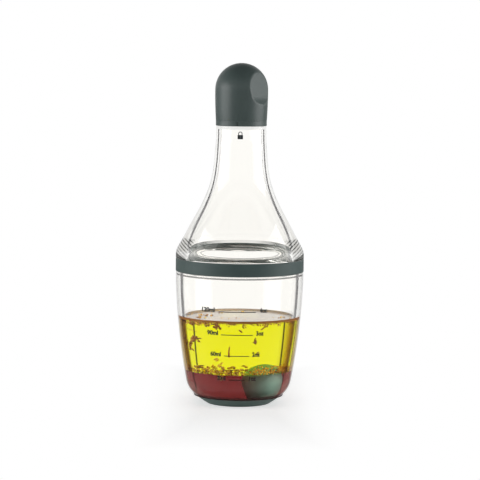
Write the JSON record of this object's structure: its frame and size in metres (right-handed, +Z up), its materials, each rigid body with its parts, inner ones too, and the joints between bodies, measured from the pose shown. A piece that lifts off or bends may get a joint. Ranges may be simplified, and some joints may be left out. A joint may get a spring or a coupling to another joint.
{
  "type": "salad dressing shaker bottle",
  "caption": "Clear salad dressing shaker: a marked cup with a loose mixing ball, screwed to a bell-shaped bottle neck with a pour spout and a domed, sealed screw cap.",
  "frame": {"origin": "centre of the foot's resting face", "axes": "+Z up along the bottle's axis, -Y towards the side with the measuring marks"},
  "size_m": [0.0714, 0.0714, 0.1897],
  "materials": {
    "clear_plastic": "clear, thick-walled, polished",
    "dark_silicone": "matt soft silicone, dark grey-green",
    "clear_silicone": "milky translucent silicone",
    "white_plastic": "natural moulded plastic",
    "dark_plastic": "satin, fine-grained, dark grey-green",
    "green_silicone": "smooth matt silicone, grey-green"
  },
  "bodies": {
    "cup": {"cup": "clear_plastic", "base_foot": "dark_silicone", "grip_band": "dark_silicone"},
    "gasket": {"body_seal": "dark_silicone"},
    "bottle": {"upper_bottle": "clear_plastic", "pour_spout": "white_plastic"},
    "liner": {"cap_seal": "clear_silicone"},
    "cap": {"cap_core": "dark_plastic", "cap_dome": "dark_plastic"},
    "ball": {"mixing_ball": "green_silicone"}
  },
  "joints": [
    {"name": "bottle_rise", "type": "slide", "parent": "cup", "child": "gasket", "axis": [0, 0, 1], "range_m": [0, 0.0035]},
    {"name": "bottle_turn", "type": "hinge", "parent": "gasket", "child": "bottle", "pos_m": [0, 0, 0.0813], "axis": [0, 0, 1], "range_deg": [0, 450]},
    {"name": "cap_rise", "type": "slide", "parent": "bottle", "child": "liner", "axis": [0, 0, 1], "range_m": [0, 0.0035]},
    {"name": "cap_turn", "type": "hinge", "parent": "liner", "child": "cap", "pos_m": [0, 0, 0.155], "axis": [0, 0, 1], "range_deg": [0, 450]},
    {"name": "ball_travel", "type": "slide", "parent": "cup", "child": "ball", "axis": [0, 0, 1], "range_m": [0, 0.078]}
  ],
  "couplings": [
    {"joint": "bottle_rise", "follows": "bottle_turn", "m_per_rad": 0.00044563},
    {"joint": "cap_rise", "follows": "cap_turn", "m_per_rad": 0.00044563}
  ]
}
